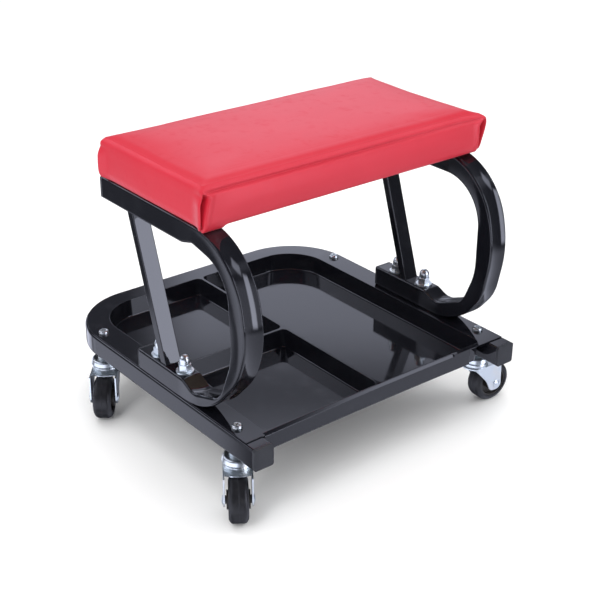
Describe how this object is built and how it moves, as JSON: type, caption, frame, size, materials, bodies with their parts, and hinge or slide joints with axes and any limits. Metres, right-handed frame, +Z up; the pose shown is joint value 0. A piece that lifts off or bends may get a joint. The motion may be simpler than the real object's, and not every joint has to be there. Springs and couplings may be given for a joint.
{
  "type": "creeper seat",
  "caption": "Low rolling workshop seat: a padded cushion on two C-bent tube sides over a divided tool tray on a U-bent base with swivel casters.",
  "frame": {"origin": "on the floor, under the middle of the base frame between its front plugs and its rear bend", "axes": "+X to the sitter's right seen from the front opening of the base, +Y to the closed back of the base, +Z up"},
  "size_m": [0.4421, 0.397, 0.3613],
  "materials": {
    "black_paint": "gloss black powder coat on pressed sheet and bent tube",
    "black_plastic": "moulded black polyethylene plug",
    "zinc_plate": "bright zinc plating on pressed and turned steel",
    "ball_steel": "polished bearing balls under grease",
    "black_screw": "blackened steel screw",
    "core_plastic": "moulded dark wheel centre",
    "tread_rubber": "dark grey-brown moulded tread",
    "red_vinyl": "smooth red upholstery vinyl with a soft sheen",
    "foam": "soft open foam, covered",
    "board": "bare plywood"
  },
  "bodies": {
    "base": {"base_frame": "black_paint", "base_plugs": "black_plastic", "tool_tray": "black_paint", "side_frame_left": "black_paint", "side_frame_right": "black_paint", "brace_left": "black_paint", "brace_right": "black_paint", "arm_plugs": "black_plastic", "frame_bolts": "zinc_plate", "frame_washers": "zinc_plate", "cap_nuts": "zinc_plate", "caster_screws": "zinc_plate", "caster_spacers": "zinc_plate", "kingpin_sleeves": "zinc_plate", "lower_races": "zinc_plate", "kingpin_nuts": "zinc_plate", "upper_balls": "ball_steel", "lower_balls": "ball_steel", "seat_foam": "foam", "seat_staples": "zinc_plate", "seat_screws": "black_screw", "seat_cover": "red_vinyl", "seat_board": "board", "caster_cup_fl": "zinc_plate", "caster_cup_fr": "zinc_plate", "caster_cup_rl": "zinc_plate", "caster_cup_rr": "zinc_plate"},
    "swivel_fl": {"fork_fl": "zinc_plate", "axle_fl": "zinc_plate"},
    "wheel_fl": {"wheel_core_fl": "core_plastic", "tyre_fl": "tread_rubber"},
    "swivel_fr": {"fork_fr": "zinc_plate", "axle_fr": "zinc_plate"},
    "wheel_fr": {"wheel_core_fr": "core_plastic", "tyre_fr": "tread_rubber"},
    "swivel_rl": {"fork_rl": "zinc_plate", "axle_rl": "zinc_plate"},
    "wheel_rl": {"wheel_core_rl": "core_plastic", "tyre_rl": "tread_rubber"},
    "swivel_rr": {"fork_rr": "zinc_plate", "axle_rr": "zinc_plate"},
    "wheel_rr": {"wheel_core_rr": "core_plastic", "tyre_rr": "tread_rubber"}
  },
  "joints": [
    {"name": "swivel_fl_turn", "type": "hinge", "parent": "base", "child": "swivel_fl", "pos_m": [-0.1783, -0.152, 0.05], "axis": [0, 0, 1], "continuous": true},
    {"name": "wheel_fl_roll", "type": "hinge", "parent": "swivel_fl", "child": "wheel_fl", "pos_m": [-0.19139, -0.17091, 0.0254], "axis": [-0.8221, 0.5693, 0], "continuous": true},
    {"name": "swivel_fr_turn", "type": "hinge", "parent": "base", "child": "swivel_fr", "pos_m": [0.1783, -0.152, 0.05], "axis": [0, 0, 1], "continuous": true},
    {"name": "wheel_fr_roll", "type": "hinge", "parent": "swivel_fr", "child": "wheel_fr", "pos_m": [0.2012, -0.15408, 0.0254], "axis": [-0.0906, -0.9959, 0], "continuous": true},
    {"name": "swivel_rl_turn", "type": "hinge", "parent": "base", "child": "swivel_rl", "pos_m": [-0.1783, 0.1145, 0.05], "axis": [0, 0, 1], "continuous": true},
    {"name": "wheel_rl_roll", "type": "hinge", "parent": "swivel_rl", "child": "wheel_rl", "pos_m": [-0.19302, 0.09683, 0.0254], "axis": [-0.7683, 0.6401, 0], "continuous": true},
    {"name": "swivel_rr_turn", "type": "hinge", "parent": "base", "child": "swivel_rr", "pos_m": [0.1783, 0.1145, 0.05], "axis": [0, 0, 1], "continuous": true},
    {"name": "wheel_rr_roll", "type": "hinge", "parent": "swivel_rr", "child": "wheel_rr", "pos_m": [0.19861, 0.1037, 0.0254], "axis": [-0.4695, -0.8829, 0], "continuous": true}
  ]
}
